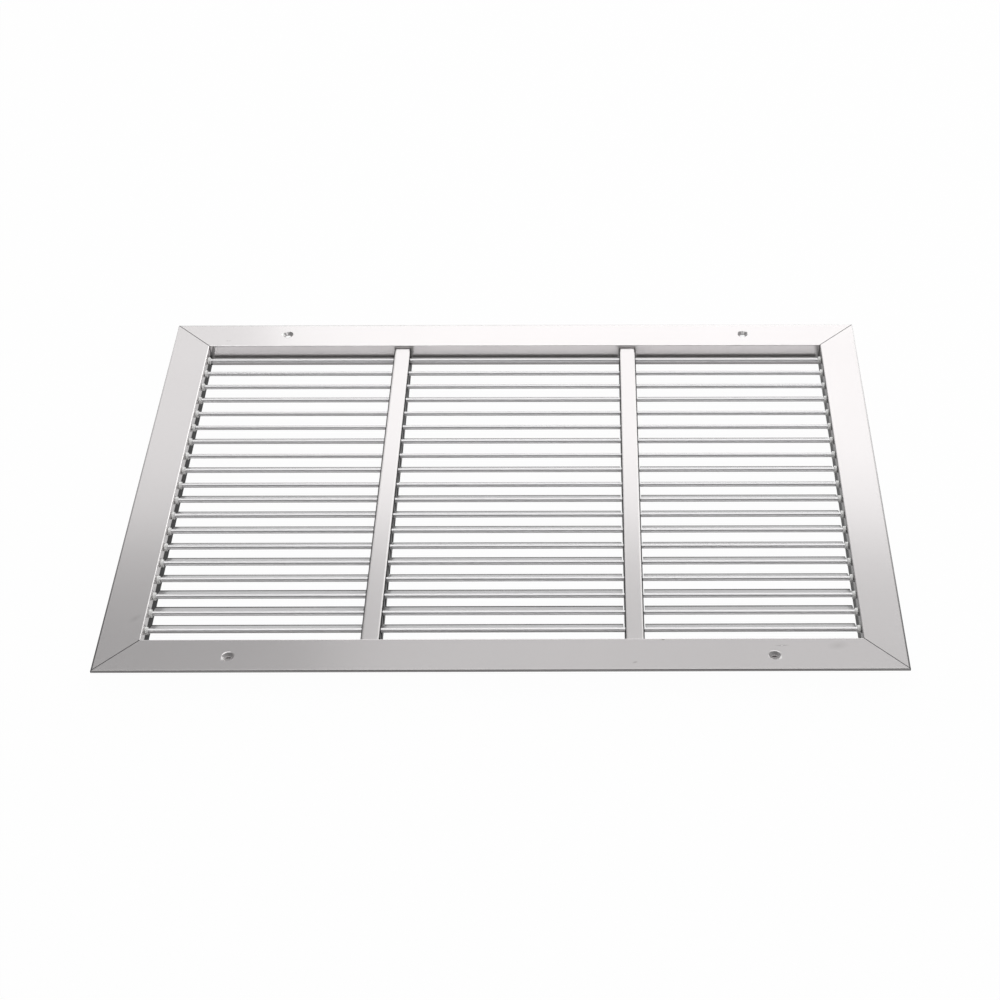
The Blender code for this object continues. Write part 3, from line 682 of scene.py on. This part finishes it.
# Plain drawn aluminium: bright, and a little uneven where the head was pressed.
rivet_metal, tree = new_finish("plain aluminium rivet")
place = add(tree, "ShaderNodeTexCoord")
drawn = add(tree, "ShaderNodeTexNoise", {"Scale": 1 / RIVET_DRAW_SIZE, "Detail": 2.0},
            {"Vector": place.outputs["Object"]})
gloss = add(tree, "ShaderNodeMapRange", {"To Min": 0.2, "To Max": 0.35},
            {"Value": drawn.outputs["Fac"]})
shader = add(tree, "ShaderNodeBsdfPrincipled",
             {"Metallic": 1.0, "Base Color": linear(RIVET_COLOUR)},
             {"Roughness": gloss.outputs[0]})
add(tree, "ShaderNodeOutputMaterial", links={"Surface": shader.outputs[0]})

for name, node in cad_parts.items():
    if name.startswith("bracket"):
        node.material_slots[0].material = steel
    if name.startswith("rivet"):
        node.material_slots[0].material = rivet_metal


# Floor: a sheet of white paper under the grille. It is plain white to the camera and half
# as bright in the metal's reflections; otherwise it is dull paper in the grille's shadow.
FLOOR_Z = -0.3 * MM
FLOOR_REACH = 6  # metres each way
PAPER_COLOUR = "eeeeee"
PAPER_WHITE = 0.98
PAPER_REFLECTED = 0.5

paper, tree = new_finish("white paper sweep")
path = add(tree, "ShaderNodeLightPath")
diffuse = add(tree, "ShaderNodeBsdfDiffuse", {"Color": linear(PAPER_COLOUR)})
glow = add(tree, "ShaderNodeEmission", {"Color": (1, 1, 1, 1), "Strength": 1.0})
clear = add(tree, "ShaderNodeMath", {"operation": "MAXIMUM"},
            {0: path.outputs["Is Camera Ray"], 1: path.outputs["Is Transmission Ray"]})
white = add(tree, "ShaderNodeMath", {"operation": "MULTIPLY", 1: PAPER_WHITE},
            {0: clear.outputs[0]})
glossy = add(tree, "ShaderNodeMath", {"operation": "MULTIPLY", 1: PAPER_REFLECTED},
             {0: path.outputs["Is Glossy Ray"]})
share = add(tree, "ShaderNodeMath", {"operation": "ADD"},
            {0: white.outputs[0], 1: glossy.outputs[0]})
mix = add(tree, "ShaderNodeMixShader",
          links={0: share.outputs[0], 1: diffuse.outputs[0], 2: glow.outputs[0]})
add(tree, "ShaderNodeOutputMaterial", links={"Surface": mix.outputs[0]})

corners = [(-FLOOR_REACH, -FLOOR_REACH, FLOOR_Z), (FLOOR_REACH, -FLOOR_REACH, FLOOR_Z),
           (FLOOR_REACH, FLOOR_REACH, FLOOR_Z), (-FLOOR_REACH, FLOOR_REACH, FLOOR_Z)]
floor_mesh = bpy.data.meshes.new("floor")
floor_mesh.from_pydata(corners, [], [(0, 1, 2, 3)])
floor_mesh.materials.append(paper)
floor = put("floor", floor_mesh)


# Room and lamps: a pale room that is lightest on the far upper side, large softboxes on
# the far side, whose soft reflection fades along the flanges, and one overhead.
ROOM_LIGHT_SIDE = (0.25, 0.72, 0.65)

world = bpy.data.worlds.new("studio")
bpy.context.scene.world = world
world.use_nodes = True
tree = world.node_tree
tree.nodes.clear()
path = add(tree, "ShaderNodeLightPath")
view = add(tree, "ShaderNodeTexCoord")
lean = add(tree, "ShaderNodeVectorMath", {"operation": "DOT_PRODUCT", 1: ROOM_LIGHT_SIDE},
           {0: view.outputs["Generated"]})
level = add(tree, "ShaderNodeMapRange", {
    "From Min": -0.1, "From Max": 1.0, "To Min": 0.1, "To Max": 0.42},
    {"Value": lean.outputs["Value"]})
room = add(tree, "ShaderNodeBackground", {"Color": (1, 1, 1, 1)}, {"Strength": level.outputs[0]})
white = add(tree, "ShaderNodeBackground", {"Color": (1, 1, 1, 1), "Strength": 1.0})
mix = add(tree, "ShaderNodeMixShader",
          links={0: path.outputs["Is Camera Ray"], 1: room.outputs[0], 2: white.outputs[0]})
add(tree, "ShaderNodeOutputWorld", links={"Surface": mix.outputs[0]})

# Each softbox has its place, the point that it faces, its size in metres and its watts.
softboxes = {
    "far_softbox": ((0.53, 1.5, 0.85), (0.53, 0, 0.85), (1.98, 1.11), 9.5),
    "far_softbox_high": ((0.53, 1.5, 1.95), (0.53, 0, 1.95), (1.98, 1.08), 2.3),
    "left_softbox": ((-0.83, 1.5, 0.85), (-0.83, 0, 0.85), (0.74, 1.11), 2.2),
    "overhead_softbox": ((0.1, 0.05, 1.5), (0.1, 0.05, 0), (1.8, 1.5), 11.5)}
for name, (place, target, size, power) in softboxes.items():
    lamp = bpy.data.lights.new(name, "AREA")
    lamp.shape = "RECTANGLE"
    lamp.size, lamp.size_y = size
    lamp.energy = power
    softbox = put(name, lamp)
    softbox.location = place
    softbox.rotation_euler = (Vector(target) - Vector(place)).to_track_quat("-Z", "Y").to_euler()


# Camera: it looks down on the grille from beyond its lower long edge, a little right of
# its middle. Turns in radians and the move in metres take the grille into its view.
SENSOR_WIDTH = 36  # mm
LENS = 72.46  # mm
SHIFT_X = -0.1
TURN_X, TURN_Y, TURN_Z = 2.2842, -0.0063, -0.0022
VIEW_MOVE = Vector((-0.0747152, 0.0059166, 1.6735685))
CAMERA_DROP = Vector((0, 0, -8.5 * MM))

camera_data = bpy.data.cameras.new("camera")
camera_data.sensor_width = SENSOR_WIDTH
camera_data.lens = LENS
camera_data.shift_x = SHIFT_X
camera = put("camera", camera_data)
turn = (Matrix.Rotation(TURN_Z, 3, "Z") @ Matrix.Rotation(TURN_Y, 3, "Y")
        @ Matrix.Rotation(TURN_X, 3, "X"))
axes = Matrix((turn[0], -turn[1], -turn[2])).transposed()
stand = -(turn.transposed() @ VIEW_MOVE) + CAMERA_DROP
camera.matrix_world = Matrix.Translation(stand) @ axes.to_4x4()
bpy.context.scene.camera = camera
bpy.context.scene.view_settings.view_transform = "Standard"
